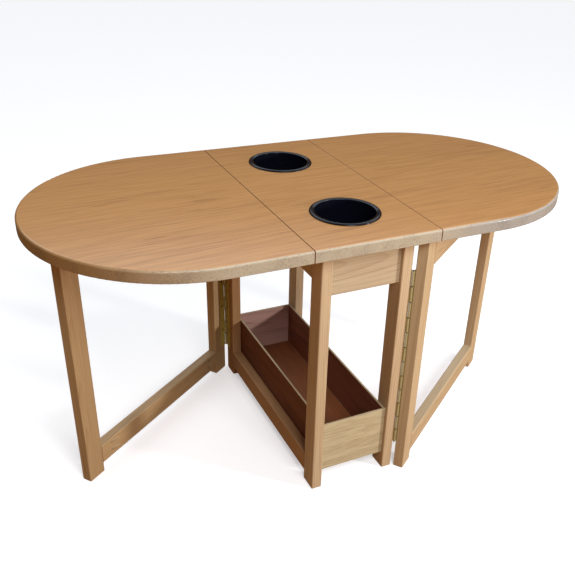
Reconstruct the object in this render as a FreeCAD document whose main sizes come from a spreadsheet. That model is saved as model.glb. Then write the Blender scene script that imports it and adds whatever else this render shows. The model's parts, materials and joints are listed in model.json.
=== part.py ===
import FreeCAD, Part
import Sketcher
import math
import os
import re

# Gateleg table. +X runs along the oval top, +Y to the back and +Z up. The origin is on the floor under the
# centre. Each gate is drawn in its own frame: the hinge axis is local Z, the gate runs along local Y, and
# local X is the gate's outward side. Every hinge is drawn round its own pin in the same way.

DIMENSIONS = [
    ("top_height", 720, "floor to the upper face of the top"),
    ("top_thickness", 30, "thickness of the centre panel and the leaves"),
    ("top_width", 727, "width of the top, and the diameter of its round ends"),
    ("straight_length", 693, "straight part of the top's sides"),
    ("centre_width", 324, "distance between the two seams"),
    ("seam_gap", 2, "gap at each seam"),
    ("top_arris", 6, "rounding of the top's upper outer edge"),
    ("under_arris", 2, "rounding of the top's lower outer edge"),
    ("seam_arris", 0.8, "rounding of the seam's upper edges"),
    ("liner_offset", 191.5, "distance of each liner's axis from the middle"),
    ("liner_rim", 86.5, "outer radius of a liner's rim"),
    ("liner_rise", 4.5, "height of the rim above the top"),
    ("liner_body", 80, "outer radius of a liner under the rim"),
    ("liner_wall", 2.5, "wall thickness of a liner"),
    ("liner_depth", 118, "depth of a liner below the top"),
    ("liner_taper", 5, "how much narrower a liner is at its foot"),
    ("hole_clearance", 0.5, "radial gap between a liner and its hole"),
    ("frame_width", 242, "width over the two side frames"),
    ("frame_depth", 638, "depth of the frame, and the length of a gate"),
    ("stock_thickness", 28, "thickness of the legs, posts and rails"),
    ("stock_width", 53, "width of the legs and posts"),
    ("edge_ease", 3, "rounding of the timber's long edges"),
    ("foot_height", 26, "floor to the bottom rails"),
    ("rail_height", 56, "height of the bottom rails"),
    ("top_rail_under", 603, "floor to the underside of the top rails"),
    ("gate_drop", 6, "how far a gate's top stays below the leaf"),
    ("left_open", 53.4, "angle of the open left gate from the frame"),
    ("right_open", 54.1, "angle of the open right gate from the frame"),
    ("apron_under", 570, "floor to the underside of the aprons"),
    ("apron_thickness", 18, "thickness of the aprons"),
    ("recess", 11, "how far the aprons and the tray stand back from the legs"),
    ("tray_under", 47.5, "floor to the bottom edge of the tray"),
    ("tray_height", 147, "height of the tray's panels"),
    ("tray_panel", 6, "thickness of the tray's panels"),
    ("tray_floor_lift", 4, "tray floor above the panels' bottom edges"),
    ("panel_ease", 1, "rounding of the tray panels' edges"),
    ("knuckle_radius", 2.8, "outer radius of a hinge knuckle, and the pin's distance from the wood"),
    ("pin_radius", 1.3, "radius of a hinge pin"),
    ("pin_play", 0.05, "radial play of a moving knuckle on its pin"),
    ("knuckle_gap", 0.4, "gap between two knuckles"),
    ("hinge_plate", 1.2, "thickness of a hinge plate"),
    ("hinge_reach", 26, "pin centre to the plate's far edge"),
    ("hinge_start", 3.2, "pin centre to the plate's near edge"),
    ("gate_hinge_foot", 84, "floor to the lower end of a gate's hinge"),
    ("gate_hinge_length", 520, "length of a gate's hinge"),
    ("gate_knuckles", 12, "knuckles on a gate's hinge"),
    ("gate_screws", 6, "screws in each plate of a gate's hinge"),
    ("leaf_hinge_length", 640, "length of a leaf's hinge"),
    ("leaf_knuckles", 16, "knuckles on a leaf's hinge"),
    ("leaf_screws", 7, "screws in each plate of a leaf's hinge"),
    ("gate_screw_start", 61, "lower end of a gate's hinge to its first screw"),
    ("leaf_screw_start", 65, "end of a leaf's hinge to its first screw"),
    ("screw_pitch", 85, "distance between two screws of a hinge"),
    ("screw_line", 14, "pin centre to the row of screws"),
    ("screw_head", 3.6, "radius of a countersunk head"),
    ("screw_shank", 1.6, "radius of a screw's shank"),
    ("screw_length", 16, "length of a countersunk screw under its head"),
    ("pocket_angle", 15, "slope of a pocket hole"),
    ("pocket_radius", 4.75, "radius of a pocket hole"),
    ("pocket_start", 20, "end of the rail to the pocket's shoulder, along the hole"),
    ("pocket_reach", 60, "length of the pocket's drill path beyond its shoulder"),
    ("pocket_low", 19, "rail's lower edge to its first pocket"),
    ("pocket_pitch", 25, "distance between the two pockets"),
    ("pocket_head", 4, "radius of a pocket screw's head"),
    ("pocket_head_height", 2.5, "height of a pocket screw's head"),
    ("pocket_screw", 42, "length of a pocket screw under its head"),
    ("rest_width", 62, "length of a gate rest along the gate"),
    ("rest_gap", 0.5, "gap between a gate's top and its rest"),
    ("stop_depth", 20, "thickness of the stop lip"),
    ("stop_drop", 22, "how far the stop lip hangs below the leaf"),
    ("stop_gap", 0.3, "gap between the open gate and its stop"),
    ("block_side", 20, "width of a fixing block"),
    ("block_length", 40, "length and height of a fixing block"),
    ("block_screw", 52, "length of a fixing block's screw"),
    ("tray_screw", 24, "length of a tray screw under its head"),
]

SIZE = {name: value for name, value, meaning in DIMENSIONS}

# Lengths that several pieces share, as formulas over the driving dimensions
UNDERSIDE = "(top_height - top_thickness)"
HALF_WIDTH = "(frame_width / 2)"
HALF_DEPTH = "(frame_depth / 2)"
INSIDE = "(frame_width / 2 - stock_thickness)"
RAIL_LENGTH = "(frame_depth - 2 * stock_width)"
GATE_TOP = "(top_height - top_thickness - gate_drop)"
TRAY_DEPTH = "(frame_depth - 2 * recess - 2 * tray_panel)"
SEAM = "(centre_width / 2)"
PIN_X = "(frame_width / 2 + knuckle_radius)"
PIN_Y = "(frame_depth / 2 + knuckle_radius)"

# The rails of a side frame and of a gate: name, height and the height of the lower edge
BOTTOM_RAIL = ("bottom", "rail_height", "foot_height")
FRAME_RAILS = (BOTTOM_RAIL, ("top", f"({UNDERSIDE} - top_rail_under)", "top_rail_under"))
GATE_RAILS = (BOTTOM_RAIL, ("top", f"({GATE_TOP} - top_rail_under)", "top_rail_under"))

# The right side is drawn as it stands, and the left side is the same turned half round
SIDE_TURN = {"left": "180", "right": "0"}

X_AXIS = FreeCAD.Vector(1, 0, 0)
Y_AXIS = FreeCAD.Vector(0, 1, 0)
Z_AXIS = FreeCAD.Vector(0, 0, 1)
ORIGIN = FreeCAD.Vector(0, 0, 0)

doc = FreeCAD.newDocument("GatelegTable")
subparts = []


def fill_sheet():
    """Write the driving dimensions into the spreadsheet."""
    sheet = doc.addObject("Spreadsheet::Sheet", "Dims")
    for row, (name, value, meaning) in enumerate(DIMENSIONS, start=1):
        sheet.set(f"A{row}", meaning)
        sheet.set(f"B{row}", str(value))
        sheet.setAlias(f"B{row}", name)
    doc.recompute()


def bind(thing, prop, formula):
    """Tie a property to a formula over the sheet's names."""
    def from_sheet(word):
        name = word.group()
        return f"Dims.{name}" if name in SIZE else name
    thing.setExpression(prop, re.sub(r"[a-z_]+", from_sheet, formula))


def bind_all(thing, **formulas):
    for prop, formula in formulas.items():
        bind(thing, prop, formula)


def place(thing, position=("0", "0", "0"), axis=Z_AXIS, turn="0"):
    """Turn a sub-part or primitive about an axis and put its own origin at a position."""
    thing.Placement = FreeCAD.Placement(ORIGIN, FreeCAD.Rotation(axis, 90))
    bind(thing, "Placement.Rotation.Angle", turn)
    for letter, formula in zip("xyz", position):
        bind(thing, f"Placement.Base.{letter}", formula)


def new_body(label, several=False):
    """A sub-part. One that groups separate solids is marked with several."""
    body = doc.addObject("PartDesign::Body", label)
    body.Label = label
    body.AllowCompound = several
    subparts.append(body)
    return body


def origin_feature(body, role):
    return next(item for item in body.Origin.OriginFeatures if item.Role == role)


def polygon(body, plane, corners, suffix=""):
    """A closed outline on an origin plane; each corner is a pair of formulas, none of them negative."""
    sketch = body.newObject("Sketcher::SketchObject", f"{body.Label}{suffix}_outline")
    sketch.AttachmentSupport = [(origin_feature(body, plane), "")]
    sketch.MapMode = "FlatFace"
    count = len(corners)
    for index in range(count):
        first = FreeCAD.Vector(10 * index + 1, index * index + 1, 0)
        last = FreeCAD.Vector(10 * index + 11, (index + 1) ** 2 + 1, 0)
        sketch.addGeometry(Part.LineSegment(first, last))
    for index in range(count):
        sketch.addConstraint(Sketcher.Constraint("Coincident", index, 2, (index + 1) % count, 1))
    for index, formulas in enumerate(corners):
        pin_point(sketch, index, 1, formulas)
    return sketch


def pin_point(sketch, geometry, end, formulas):
    """Hold one point of a sketch at a pair of formulas."""
    for letter, axis_line, formula in zip("XY", (-2, -1), formulas):
        if formula == "0":
            sketch.addConstraint(Sketcher.Constraint("PointOnObject", geometry, end, axis_line))
            continue
        name = f"{letter}{geometry}"
        index = sketch.addConstraint(Sketcher.Constraint(f"Distance{letter}", -1, 1, geometry, end, 10.0))
        sketch.renameConstraint(index, name)
        bind(sketch, f"Constraints.{name}", formula)


def pad(body, sketch, length):
    feature = body.newObject("PartDesign::Pad", body.Label + "_pad")
    feature.Profile = sketch
    bind(feature, "Length", length)
    doc.recompute()
    return feature


def round_edges(body, chosen, radius, name="rounding"):
    """Round the edges of the body's present tip that the chosen function picks."""
    base = body.Tip
    names = [f"Edge{number}" for number, edge in enumerate(base.Shape.Edges, start=1) if chosen(edge)]
    feature = body.newObject("PartDesign::Fillet", f"{body.Label}_{name}")
    feature.Base = (base, names)
    bind(feature, "Radius", radius)
    doc.recompute()


def along(direction):
    """Pick the straight edges that run along a direction."""
    def chosen(edge):
        if edge.Curve.TypeId != "Part::GeomLine":
            return False
        return abs(abs(edge.tangentAt(edge.FirstParameter).dot(direction)) - 1) < 0.001
    return chosen


def at_height(height, outside=None):
    """Pick the edges that lie at one local height, leaving out those on the plane x = outside."""
    def chosen(edge):
        box = edge.BoundBox
        level = abs(box.ZMin - height) < 0.001 and abs(box.ZMax - height) < 0.001
        on_plane = outside is not None and max(abs(box.XMin - outside), abs(box.XMax - outside)) < 0.001
        return level and not on_plane
    return chosen


def primitive(body, kind, name, position, axis=Z_AXIS, turn="0", **sizes):
    """A PartDesign primitive, such as AdditiveBox, with bound sizes and a bound place."""
    shape = body.newObject(f"PartDesign::{kind}", f"{body.Label}_{name}")
    bind_all(shape, **sizes)
    place(shape, position, axis, turn)
    doc.recompute()
    return shape


def row(body, originals, name, axis, count, length):
    """Repeat features in a straight row along one of the body's axes."""
    pattern = body.newObject("PartDesign::LinearPattern", f"{body.Label}_{name}")
    pattern.Originals = originals
    pattern.Direction = (origin_feature(body, axis), [""])
    bind_all(pattern, Occurrences=count, Length=length)
    body.Tip = pattern
    doc.recompute()
    return pattern


def board(label, size, corner, grain, ease="edge_ease", drawn=("0", "0"), turn="0"):
    """A plain board with its arrises eased along the grain. Size and corner are formulas for x, y and z.

    A board that turns with a gate is drawn away from the sketch's origin, and then turned about it.
    """
    body = new_body(label)
    width, depth, height = size
    near_x, near_y = drawn
    far_x, far_y = (f"{near_x} + {width}", f"{near_y} + {depth}")
    outline = polygon(body, "XY_Plane", [(near_x, near_y), (far_x, near_y), (far_x, far_y), (near_x, far_y)])
    pad(body, outline, height)
    round_edges(body, along(grain), ease)
    place(body, corner, Z_AXIS, turn)
    return body


def pocket_holes(low, pitch):
    """The four pocket holes of a rail: name, end (-1 near, 1 far) and height."""
    for place_name, end in (("near", -1), ("far", 1)):
        yield f"{place_name}_lower", end, low
        yield f"{place_name}_upper", end, f"({low} + {pitch})"


def pocket_point(end, distance, corner):
    """A point on a pocket hole's axis, at a distance from the middle of the end of a rail at a corner."""
    x = f"{corner[0]} + stock_thickness / 2 - {distance} * sin(pocket_angle * 1deg)"
    y = f"{distance} * cos(pocket_angle * 1deg)"
    if end > 0:
        y = f"{RAIL_LENGTH} - {y}"
    return x, f"{corner[1]} + {y}", corner[2]


def pocket_axis(end):
    """The axis about which a quarter turn lays local Z along a pocket hole, away from the rail's end."""
    slope = math.radians(SIZE["pocket_angle"])
    return FreeCAD.Vector(end * math.cos(slope), -math.sin(slope), 0)


def rail_with_pockets(label, height, corner, drawn=("0", "0"), turn="0"):
    """A rail along local Y, with two pocket holes at each end of its inner, low-x face."""
    size = ("stock_thickness", RAIL_LENGTH, height)
    body = board(label, size, corner, Y_AXIS, "edge_ease", drawn, turn)
    low, pitch = pocket_rows(height)
    for name, end, level in pocket_holes(low, pitch):
        before = body.Shape.Volume
        point = pocket_point(end, "pocket_start", (*drawn, level))
        primitive(body, "SubtractiveCylinder", name, point, pocket_axis(end), "90",
                  Radius="pocket_radius", Height="pocket_reach")
        if body.Shape.Volume >= before:
            raise RuntimeError(f"{label}: pocket {name} cuts nothing")
    return body


def pocket_rows(height):
    """The height of the lower pockets of a rail and the distance to the upper ones."""
    if height == "rail_height":
        return "pocket_low", "pocket_pitch"
    return f"({height} / 2 - pocket_pitch)", "(2 * pocket_pitch)"


def pocket_screws(body, name, height, corner):
    """The four screws of a rail whose low corner is at a place in the group's frame."""
    low, pitch = pocket_rows(height)
    for hole, end, level in pocket_holes(low, pitch):
        point = pocket_point(end, "pocket_start", (corner[0], corner[1], f"{corner[2]} + {level}"))
        primitive(body, "AdditiveCylinder", f"{name}_{hole}_head", point, pocket_axis(end), "90",
                  Radius="pocket_head", Height="pocket_head_height")
        primitive(body, "AdditiveCylinder", f"{name}_{hole}_shank", point, pocket_axis(end), "-90",
                  Radius="screw_shank", Height="pocket_screw")


def hinge_leaf(label, length, knuckles, screws, screw_start, moving, position, axis, turn):
    """One leaf of a continuous hinge: its pin is on local Z, its plate against x = knuckle_radius."""
    body = new_body(label)
    knuckle = f"({length} / {knuckles})"
    near = "hinge_start" if moving else "-hinge_reach"
    foot = f"{knuckle} + knuckle_gap / 2" if moving else "knuckle_gap / 2"
    bore = "pin_radius + pin_play" if moving else "pin_radius"
    plate_x = "knuckle_radius - hinge_plate"
    primitive(body, "AdditiveBox", "plate", (plate_x, near, "0"),
              Length="hinge_plate", Width="hinge_reach - hinge_start", Height=length)
    barrel = primitive(body, "AdditiveCylinder", "knuckle", ("0", "0", foot),
                       Radius="knuckle_radius", Height=f"{knuckle} - knuckle_gap")
    tab = primitive(body, "AdditiveBox", "tab", (plate_x, "0" if moving else "-hinge_start - 1", foot),
                    Length="hinge_plate", Width="hinge_start + 1", Height=f"{knuckle} - knuckle_gap")
    row(body, [barrel, tab], "knuckles", "Z_Axis", f"{knuckles} / 2", f"{length} - 2 * {knuckle}")
    before = body.Shape.Volume
    primitive(body, "SubtractiveCylinder", "bore", ("0", "0", "-1"), Radius=bore, Height=f"{length} + 2")
    screw_y = "screw_line" if moving else "-screw_line"
    hole = primitive(body, "SubtractiveCone", "screw_hole", (plate_x, screw_y, screw_start), Y_AXIS, "90",
                     Radius1="screw_head", Radius2="screw_head - hinge_plate", Height="hinge_plate")
    row(body, [hole], "screw_holes", "Z_Axis", screws, f"screw_pitch * ({screws} - 1)")
    if body.Shape.Volume >= before:
        raise RuntimeError(f"{label}: the holes cut nothing")
    place(body, position, axis, turn)
    return body


def turned_screw(body, name, point, shank_length, turn="0"):
    """A countersunk screw turned from one profile, with its flat head at a point and its tip towards +X."""
    neck = "(screw_head - screw_shank)"
    tip = "2 * screw_shank"
    corners = [("0", "0"), ("0", "screw_head"), (neck, "screw_shank"),
               (f"{neck} + {shank_length} - {tip}", "screw_shank"), (f"{neck} + {shank_length}", "0")]
    sketch = polygon(body, "XY_Plane", corners, f"_{name}")
    sketch.AttachmentOffset = FreeCAD.Placement(ORIGIN, FreeCAD.Rotation(Z_AXIS, 90))
    bind(sketch, "AttachmentOffset.Rotation.Angle", turn)
    for letter, formula in zip("xyz", point):
        bind(sketch, f"AttachmentOffset.Base.{letter}", formula)
    screw = body.newObject("PartDesign::Revolution", f"{body.Label}_{name}_turned")
    screw.Profile = sketch
    screw.ReferenceAxis = (sketch, ["H_Axis"])
    screw.Angle = 360
    doc.recompute()
    return screw


def hinge_screws(label, screws, screw_start, moving, position, axis, turn):
    """The row of countersunk screws of one hinge leaf, flush in its plate."""
    body = new_body(label, several=True)
    screw_y = "screw_line" if moving else "-screw_line"
    screw = turned_screw(body, "screw", ("knuckle_radius - hinge_plate", screw_y, screw_start),
                         "screw_length")
    row(body, [screw], "row", "Z_Axis", screws, f"screw_pitch * ({screws} - 1)")
    place(body, position, axis, turn)


def hinge_pin(label, length, position, axis, turn):
    body = new_body(label)
    primitive(body, "AdditiveCylinder", "rod", ("0", "0", "0"), Radius="pin_radius", Height=length)
    place(body, position, axis, turn)


def make_centre_top():
    """The fixed panel, with a hole for each liner."""
    width = "(centre_width - seam_gap)"
    body = new_body("centre_top")
    corners = [("0", "0"), (width, "0"), (width, "top_width"), ("0", "top_width")]
    pad(body, polygon(body, "XY_Plane", corners), "top_thickness")
    half_depth = SIZE["top_width"] / 2
    thickness = SIZE["top_thickness"]

    def outer(height):
        def chosen(edge):
            middle = edge.BoundBox.Center
            return abs(abs(middle.y - half_depth) - half_depth) < 0.001 and abs(middle.z - height) < 0.001
        return chosen

    def seam(edge):
        middle = edge.BoundBox.Center
        return abs(middle.y - half_depth) < 0.001 and abs(middle.z - thickness) < 0.001

    round_edges(body, outer(thickness), "top_arris", "upper_arris")
    round_edges(body, outer(0), "under_arris", "lower_arris")
    round_edges(body, seam, "seam_arris", "seam_arris")
    for name, sign in (("front", "-"), ("back", "+")):
        before = body.Shape.Volume
        primitive(body, "SubtractiveCylinder", f"{name}_hole",
                  (f"{width} / 2", f"top_width / 2 {sign} liner_offset", "-1"),
                  Radius="liner_body + hole_clearance", Height="top_thickness + 2")
        if body.Shape.Volume >= before:
            raise RuntimeError(f"centre_top: the {name} hole cuts nothing")
    place(body, (f"-{width} / 2", "-top_width / 2", UNDERSIDE))


def make_leaf(side, turn):
    """A drop leaf, drawn from its seam at x = 0 towards its round end."""
    body = new_body(f"{side}_leaf")
    sketch = body.newObject("Sketcher::SketchObject", f"{side}_leaf_outline")
    sketch.AttachmentSupport = [(origin_feature(body, "XY_Plane"), "")]
    sketch.MapMode = "FlatFace"
    radius = SIZE["top_width"] / 2
    straight = (SIZE["straight_length"] - SIZE["centre_width"] - SIZE["seam_gap"]) / 2
    corners = [FreeCAD.Vector(0, 2 * radius, 0), FreeCAD.Vector(0, 0, 0),
               FreeCAD.Vector(straight, 0, 0), FreeCAD.Vector(straight, 2 * radius, 0)]
    sketch.addGeometry(Part.LineSegment(corners[0], corners[1]))
    sketch.addGeometry(Part.LineSegment(corners[1], corners[2]))
    round_end = Part.Arc(corners[2], FreeCAD.Vector(straight + radius, radius, 0), corners[3])
    sketch.addGeometry(round_end)
    sketch.addGeometry(Part.LineSegment(corners[3], corners[0]))
    pin_point(sketch, 0, 1, ("0", "top_width"))
    pin_point(sketch, 1, 1, ("0", "0"))
    pin_point(sketch, 3, 1, ("(straight_length - centre_width - seam_gap) / 2", "top_width"))
    sketch.addConstraint(Sketcher.Constraint("Coincident", 0, 2, 1, 1))
    sketch.addConstraint(Sketcher.Constraint("Coincident", 1, 2, 2, 1))
    sketch.addConstraint(Sketcher.Constraint("Coincident", 2, 2, 3, 1))
    sketch.addConstraint(Sketcher.Constraint("Coincident", 3, 2, 0, 1))
    sketch.addConstraint(Sketcher.Constraint("Horizontal", 1))
    sketch.addConstraint(Sketcher.Constraint("Vertical", 2, 1, 2, 2))
    sketch.addConstraint(Sketcher.Constraint("Vertical", 2, 1, 2, 3))
    pad(body, sketch, "top_thickness")
    thickness = SIZE["top_thickness"]
    round_edges(body, at_height(thickness, outside=0), "top_arris", "upper_arris")
    round_edges(body, at_height(0, outside=0), "under_arris", "lower_arris")
    seam_x, seam_y = f"({SEAM} + seam_gap / 2)", "top_width / 2"

    def seam(edge):
        box = edge.BoundBox
        return box.XMax < 0.001 and abs(box.ZMin - thickness) < 0.001

    round_edges(body, seam, "seam_arris", "seam_arris")
    if side == "right":
        place(body, (seam_x, f"-{seam_y}", UNDERSIDE))
    else:
        place(body, (f"-{seam_x}", seam_y, UNDERSIDE), Z_AXIS, turn)


def make_frame():
    """Four legs, the rails of the two side frames, and the aprons between them."""
    for depth_name, leg_y in (("front", f"-{HALF_DEPTH}"), ("back", f"{HALF_DEPTH} - stock_width")):
        for side, leg_x in (("left", f"-{HALF_WIDTH}"), ("right", INSIDE)):
            board(f"{depth_name}_{side}_leg", ("stock_thickness", "stock_width", UNDERSIDE),
                  (leg_x, leg_y, "0"), Z_AXIS)
    for side in ("left", "right"):
        for level, height, foot in FRAME_RAILS:
            rail_with_pockets(f"{side}_{level}_rail", height, (*rail_corner(side), foot),
                              turn=SIDE_TURN[side])
    apron_y = "frame_depth / 2 - recess"
    apron_size = (f"2 * {INSIDE}", "apron_thickness", f"{UNDERSIDE} - apron_under")
    board("front_apron", apron_size, (f"-{INSIDE}", f"-({apron_y})", "apron_under"), X_AXIS)
    board("back_apron", apron_size, (f"-{INSIDE}", f"{apron_y} - apron_thickness", "apron_under"), X_AXIS)


def rail_corner(side):
    """Where a side frame's rail starts: its inner face is the plane of the tray's side."""
    if side == "right":
        return INSIDE, f"-{RAIL_LENGTH} / 2"
    return f"-{INSIDE}", f"{RAIL_LENGTH} / 2"


def make_tray():
    """The open storage tray between the bottom rails: four thin panels round a floor."""
    depth = TRAY_DEPTH
    across = f"2 * {INSIDE}"
    side_size = ("tray_panel", depth, "tray_height")
    board("tray_left_side", side_size, (f"-{INSIDE}", f"-{depth} / 2", "tray_under"), Y_AXIS, "panel_ease")
    board("tray_right_side", side_size, (f"{INSIDE} - tray_panel", f"-{depth} / 2", "tray_under"),
          Y_AXIS, "panel_ease")
    end_size = (across, "tray_panel", "tray_height")
    board("tray_front", end_size, (f"-{INSIDE}", f"-{depth} / 2 - tray_panel", "tray_under"),
          X_AXIS, "panel_ease")
    board("tray_back", end_size, (f"-{INSIDE}", f"{depth} / 2", "tray_under"), X_AXIS, "panel_ease")
    inside = f"(2 * {INSIDE} - 2 * tray_panel)"
    body = new_body("tray_floor")
    primitive(body, "AdditiveBox", "panel", ("0", "0", "0"), Length=inside, Width=depth, Height="tray_panel")
    place(body, (f"-{inside} / 2", f"-{depth} / 2", "tray_under + tray_floor_lift"))


def make_tray_screws():
    """Three screws through each side of the tray into the bottom rail."""
    body = new_body("tray_screws", several=True)
    for side, sign, turn in (("left", "-", "180"), ("right", "", "0")):
        start = f"{sign}({INSIDE} - tray_panel)"
        point = (start, f"-{RAIL_LENGTH} / 3", "foot_height + 0.8 * rail_height")
        screw = turned_screw(body, side, point, "tray_screw", turn)
        row(body, [screw], f"{side}_row", "Y_Axis", "3", f"2 * {RAIL_LENGTH} / 3")


def make_top_fixings():
    """A block in each corner under the centre panel, and a screw up through each block."""
    blocks = new_body("top_fixing_blocks", several=True)
    inner_y = "(frame_depth / 2 - recess - apron_thickness)"
    low = f"{UNDERSIDE} - block_length"
    screws = new_body("top_fixing_screws", several=True)
    for depth_name, y in (("front", f"-{inner_y}"), ("back", f"{inner_y} - block_length")):
        for side, x in (("left", f"-{INSIDE}"), ("right", f"{INSIDE} - block_side")):
            primitive(blocks, "AdditiveBox", f"{depth_name}_{side}", (x, y, low),
                      Length="block_side", Width="block_length", Height="block_length")
            middle = (f"{x} + block_side / 2", f"{y} + block_length / 2", low)
            primitive(screws, "AdditiveCylinder", f"{depth_name}_{side}_shank", middle,
                      Radius="screw_shank", Height="block_screw")
            head = (middle[0], middle[1], f"{low} - pocket_head_height")
            primitive(screws, "AdditiveCylinder", f"{depth_name}_{side}_head", head,
                      Radius="pocket_head", Height="pocket_head_height")


def make_frame_screws():
    """The pocket screws of the two side frames."""
    for side in ("left", "right"):
        body = new_body(f"{side}_frame_screws", several=True)
        for level, height, foot in FRAME_RAILS:
            pocket_screws(body, level, height, ("0", "0", foot))
        place(body, (*rail_corner(side), "0"), Z_AXIS, SIDE_TURN[side])


def gate_place(side):
    """The foot of a gate's hinge pin, and the turn of the open gate."""
    if side == "right":
        return (PIN_X, f"-{PIN_Y}"), "-right_open"
    return (f"-{PIN_X}", PIN_Y), "180 - left_open"


def make_gate(side):
    """A gate: two posts joined by two rails with pocket screws, all turned about the hinge pin."""
    corner, turn = gate_place(side)
    on_floor = (*corner, "0")
    post = ("stock_thickness", "stock_width", GATE_TOP)
    rail_y = "knuckle_radius + stock_width"
    board(f"{side}_gate_inner_post", post, on_floor, Z_AXIS,
          drawn=("knuckle_radius", "knuckle_radius"), turn=turn)
    board(f"{side}_gate_outer_post", post, on_floor, Z_AXIS,
          drawn=("knuckle_radius", f"{rail_y} + {RAIL_LENGTH}"), turn=turn)
    for level, height, foot in GATE_RAILS:
        rail_with_pockets(f"{side}_gate_{level}_rail", height, (*corner, foot),
                          drawn=("knuckle_radius", rail_y), turn=turn)
    screws = new_body(f"{side}_gate_pocket_screws", several=True)
    for level, height, foot in GATE_RAILS:
        pocket_screws(screws, level, height, ("knuckle_radius", rail_y, foot))
    place(screws, on_floor, Z_AXIS, turn)


def make_gate_hinge(side):
    """The hinge of a gate: one leaf on the frame's leg, one on the gate's inner post, and a pin."""
    corner, turn = gate_place(side)
    foot = (*corner, "gate_hinge_foot")
    screws = ("gate_screws", "gate_screw_start")
    build = ("gate_hinge_length", "gate_knuckles", *screws)
    leg_turn = "180" if side == "right" else "0"
    hinge_leaf(f"{side}_gate_hinge_fixed", *build, False, foot, Z_AXIS, leg_turn)
    hinge_leaf(f"{side}_gate_hinge_moving", *build, True, foot, Z_AXIS, turn)
    hinge_pin(f"{side}_gate_hinge_pin", "gate_hinge_length", foot, Z_AXIS, leg_turn)
    hinge_screws(f"{side}_gate_hinge_leg_screws", *screws, False, foot, Z_AXIS, leg_turn)
    hinge_screws(f"{side}_gate_hinge_post_screws", *screws, True, foot, Z_AXIS, turn)


def make_leaf_hinge(side):
    """The continuous hinge under a seam, with its pin along the seam and its plates against the underside."""
    pin_z = f"{UNDERSIDE} - knuckle_radius"
    screws = ("leaf_screws", "leaf_screw_start")
    build = ("leaf_hinge_length", "leaf_knuckles", *screws)
    if side == "right":
        position = (SEAM, "-leaf_hinge_length / 2", pin_z)
        axis, turn = FreeCAD.Vector(1, 1, 1), "240"
    else:
        position = (f"-{SEAM}", "leaf_hinge_length / 2", pin_z)
        axis, turn = FreeCAD.Vector(1, -1, 1), "120"
    hinge_leaf(f"{side}_leaf_hinge_fixed", *build, False, position, axis, turn)
    hinge_leaf(f"{side}_leaf_hinge_moving", *build, True, position, axis, turn)
    hinge_pin(f"{side}_leaf_hinge_pin", "leaf_hinge_length", position, axis, turn)
    hinge_screws(f"{side}_leaf_hinge_panel_screws", *screws, False, position, axis, turn)
    hinge_screws(f"{side}_leaf_hinge_leaf_screws", *screws, True, position, axis, turn)


def make_gate_stop(side):
    """The block under a leaf that the open gate carries the leaf by, with a lip that stops the gate."""
    corner, turn = gate_place(side)
    body = new_body(f"{side}_gate_stop")
    low_y = "(frame_depth - rest_width)"
    primitive(body, "AdditiveBox", "rest", ("knuckle_radius", low_y, f"{GATE_TOP} + rest_gap"),
              Length="stock_thickness + stop_depth", Width="rest_width", Height="gate_drop - rest_gap")
    primitive(body, "AdditiveBox", "lip",
              ("knuckle_radius + stock_thickness + stop_gap", low_y, f"{UNDERSIDE} - stop_drop"),
              Length="stop_depth - stop_gap", Width="rest_width", Height="stop_drop")
    round_edges(body, along(Z_AXIS), "edge_ease")
    place(body, (*corner, "0"), Z_AXIS, turn)
    screws = new_body(f"{side}_gate_stop_screws", several=True)
    x = "knuckle_radius + stock_thickness + stop_gap + stop_depth / 2"
    point = (x, f"{low_y} + rest_width / 5", f"{UNDERSIDE} - stop_drop")
    shank = primitive(screws, "AdditiveCylinder", "shank", point,
                      Radius="screw_shank", Height="stop_drop + screw_length")
    head = primitive(screws, "AdditiveCylinder", "head", (point[0], point[1], f"{point[2]} - 1.5"),
                     Radius="screw_head", Height="1.5")
    row(screws, [shank, head], "pair", "Y_Axis", "2", "3 * rest_width / 5")
    place(screws, (*corner, "0"), Z_AXIS, turn)


def make_liner(side, sign):
    """A round tub with a rolled rim, turned from one profile about its own axis."""
    body = new_body(f"{side}_liner")
    foot = "liner_body - liner_taper"
    depth = "liner_depth"
    corners = [("0", "0"), (foot, "0"), ("liner_body", depth), ("liner_rim", depth),
               ("liner_rim", f"{depth} + liner_rise"), ("liner_body - liner_wall", f"{depth} + liner_rise"),
               (f"{foot} - liner_wall", "liner_wall"), ("0", "liner_wall")]
    sketch = polygon(body, "XZ_Plane", corners)
    turned = body.newObject("PartDesign::Revolution", f"{side}_liner_turned")
    turned.Profile = sketch
    turned.ReferenceAxis = (sketch, ["V_Axis"])
    turned.Angle = 360
    doc.recompute()
    rim_height = SIZE["liner_depth"] + SIZE["liner_rise"]
    rim_radius = SIZE["liner_rim"]

    def upper_outer(edge):
        box = edge.BoundBox
        return abs(box.ZMin - rim_height) < 0.001 and abs(box.XMax - rim_radius) < 0.001

    def upper_inner(edge):
        box = edge.BoundBox
        return abs(box.ZMin - rim_height) < 0.001 and box.XMax < rim_radius - 0.5 and box.XLength > 1

    def foot_edges(edge):
        box = edge.BoundBox
        return box.ZMax < SIZE["liner_wall"] + 0.001 and box.XLength > 1

    round_edges(body, upper_outer, "liner_rise - 0.6", "outer_roll")
    round_edges(body, upper_inner, "liner_rise - 0.6", "inner_roll")
    round_edges(body, foot_edges, "liner_wall", "foot_roll")
    place(body, ("0", f"{sign}liner_offset", "top_height - liner_depth"))


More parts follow.
